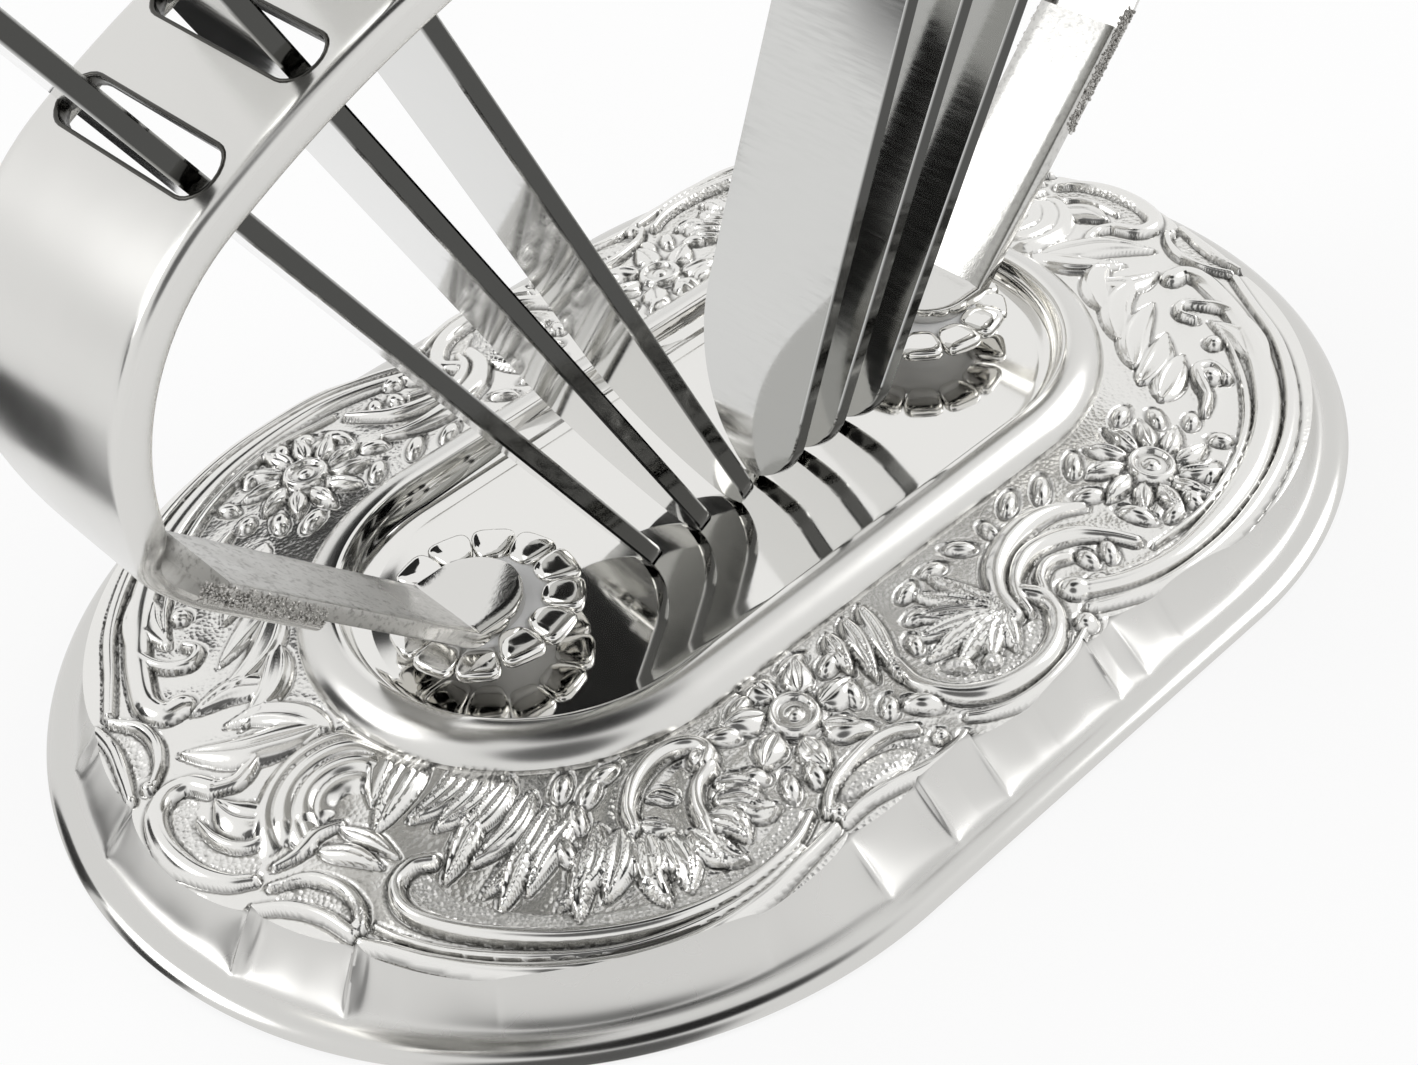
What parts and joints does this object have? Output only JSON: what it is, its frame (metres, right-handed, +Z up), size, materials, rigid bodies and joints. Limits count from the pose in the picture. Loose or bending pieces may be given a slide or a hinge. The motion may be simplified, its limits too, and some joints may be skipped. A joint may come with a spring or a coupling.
{
  "type": "fruit knife stand",
  "caption": "Oval pressed metal stand with a relief border and a slotted hoop on arms, in which fruit knives stand tip down in fans that open to both sides.",
  "frame": {"origin": "on the table plane under the middle of the oval base", "axes": "+X along the long side of the base, +Y across it, +Z up"},
  "size_m": [0.2092, 0.0946, 0.1697],
  "materials": {
    "silver_plate": "polished silver plate",
    "worn_plate": "silver plate, dull and scratched near the solder",
    "screw_brass": "turned brass",
    "blade_steel": "mirror polished steel",
    "handle_plate": "polished silver plate"
  },
  "bodies": {
    "stand": {"base": "silver_plate", "rosette_left": "silver_plate", "rosette_right": "silver_plate", "screw_left": "screw_brass", "screw_right": "screw_brass", "arm_left": "worn_plate", "arm_right": "worn_plate", "hoop": "silver_plate"},
    "knife_1": {"blade_1": "blade_steel", "handle_1": "handle_plate"},
    "knife_2": {"blade_2": "blade_steel", "handle_2": "handle_plate"},
    "knife_3": {"blade_3": "blade_steel", "handle_3": "handle_plate"},
    "knife_4": {"blade_4": "blade_steel", "handle_4": "handle_plate"},
    "knife_5": {"blade_5": "blade_steel", "handle_5": "handle_plate"},
    "knife_6": {"blade_6": "blade_steel", "handle_6": "handle_plate"}
  },
  "joints": [
    {"name": "knife_1_lift", "type": "slide", "parent": "stand", "child": "knife_1", "axis": [-0.512, 0, 0.859], "range_m": [0, 0.08]},
    {"name": "knife_2_lift", "type": "slide", "parent": "stand", "child": "knife_2", "axis": [-0.4509, 0, 0.8926], "range_m": [0, 0.08]},
    {"name": "knife_3_lift", "type": "slide", "parent": "stand", "child": "knife_3", "axis": [-0.3939, 0, 0.9191], "range_m": [0, 0.08]},
    {"name": "knife_4_lift", "type": "slide", "parent": "stand", "child": "knife_4", "axis": [0.3939, 0, 0.9191], "range_m": [0, 0.08]},
    {"name": "knife_5_lift", "type": "slide", "parent": "stand", "child": "knife_5", "axis": [0.4509, 0, 0.8926], "range_m": [0, 0.08]},
    {"name": "knife_6_lift", "type": "slide", "parent": "stand", "child": "knife_6", "axis": [0.512, 0, 0.859], "range_m": [0, 0.08]}
  ]
}
